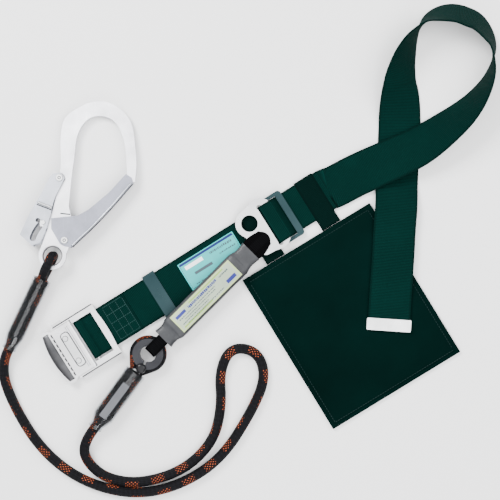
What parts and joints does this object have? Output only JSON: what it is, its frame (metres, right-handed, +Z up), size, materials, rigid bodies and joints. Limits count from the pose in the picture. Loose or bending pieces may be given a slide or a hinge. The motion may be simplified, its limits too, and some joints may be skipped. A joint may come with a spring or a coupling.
{
  "type": "shock absorbing lanyard",
  "caption": "Rope safety lanyard with a self-closing hook and a tear-webbing shock absorber, joined to a webbing waist belt with a lever buckle and a flat pouch.",
  "frame": {"origin": "on the floor under the middle of the laid-out assembly without the rope", "axes": "+Z up from the floor, +X toward the strap's free loop, +Y toward the hook's bow"},
  "size_m": [0.5891, 0.5839, 0.0504],
  "materials": {
    "label_silver": "printed",
    "hook_metal": "bright satin",
    "gate_steel": "zinc plated",
    "rivet_steel": "bright",
    "spring_steel": "plain",
    "rope_fabric": "braided",
    "clear_pvc": "soft clear",
    "thimble_plastic": "moulded",
    "absorber_vinyl": "soft vinyl",
    "label_yellow": "printed",
    "label_cyan": "printed",
    "webbing_black": "woven",
    "webbing_green": "ribbed webbing",
    "plate_steel": "plated",
    "teal_plastic": "moulded",
    "tip_metal": "bright",
    "buckle_steel": "brushed",
    "pouch_vinyl": "coated cloth"
  },
  "bodies": {
    "belt": {"belt_webbing": "webbing_green", "belt_tip": "tip_metal", "belt_label": "label_cyan", "connector_plate": "plate_steel", "plate_slider": "teal_plastic", "buckle_frame": "buckle_steel", "buckle_bar": "buckle_steel", "cam_pin": "rivet_steel", "absorber_cover": "absorber_vinyl", "absorber_label": "label_yellow", "tear_pack": "webbing_black", "lower_loop": "webbing_black", "upper_loop": "webbing_black", "ring_thimble": "thimble_plastic", "ring_rope_eye": "rope_fabric", "ring_sleeve": "clear_pvc", "ring_sleeve_collar": "clear_pvc", "rope": "rope_fabric", "hook_rope_eye": "rope_fabric", "hook_sleeve": "clear_pvc", "hook_sleeve_collar": "clear_pvc", "ring_button": "thimble_plastic", "sleeve_label": "label_silver"},
    "hook": {"hook_body": "hook_metal", "gate_pivot_rivet": "rivet_steel", "lock_pivot_rivet": "rivet_steel", "lock_guide_pin": "rivet_steel", "gate_spring": "spring_steel", "lock_spring": "spring_steel"},
    "gate": {"hook_gate": "gate_steel"},
    "lock": {"lock_lever": "gate_steel"},
    "buckle_lever": {"cam_lever": "buckle_steel", "lever_plate": "rivet_steel", "lever_rivets": "rivet_steel"},
    "keeper": {"belt_keeper": "teal_plastic"},
    "pouch": {"pouch_front": "pouch_vinyl", "pouch_back": "pouch_vinyl", "pouch_hem": "pouch_vinyl", "pouch_loop_left": "pouch_vinyl", "pouch_loop_right": "pouch_vinyl"}
  },
  "joints": [
    {"name": "hook_swing", "type": "hinge", "parent": "belt", "child": "hook", "pos_m": [-0.233, -0.0448, 0.0174], "axis": [0, 0, 1], "range_deg": [-8, 8]},
    {"name": "gate_open", "type": "hinge", "parent": "hook", "child": "gate", "pos_m": [-0.21884, -0.02683, 0.01608], "axis": [0.0071, 0.0676, 0.9977], "range_deg": [0, 26], "stiffness_Nm_per_rad": 0.12, "springref_deg": -28.65},
    {"name": "lock_press", "type": "hinge", "parent": "hook", "child": "lock", "pos_m": [-0.22514, 0.04627, 0.01117], "axis": [0.0071, 0.0676, 0.9977], "range_deg": [0, 5], "stiffness_Nm_per_rad": 0.3, "springref_deg": -17.19},
    {"name": "buckle_lever_lift", "type": "hinge", "parent": "belt", "child": "buckle_lever", "pos_m": [-0.201, -0.14876, 0.0068], "axis": [-0.5299, 0.848, 0], "range_deg": [0, 60]},
    {"name": "keeper_slide", "type": "slide", "parent": "belt", "child": "keeper", "axis": [0.848, 0.5299, 0], "range_m": [-0.012, 0.012]},
    {"name": "pouch_slide", "type": "slide", "parent": "belt", "child": "pouch", "axis": [0.848, 0.5299, 0], "range_m": [-0.0015, 0.0015]}
  ]
}
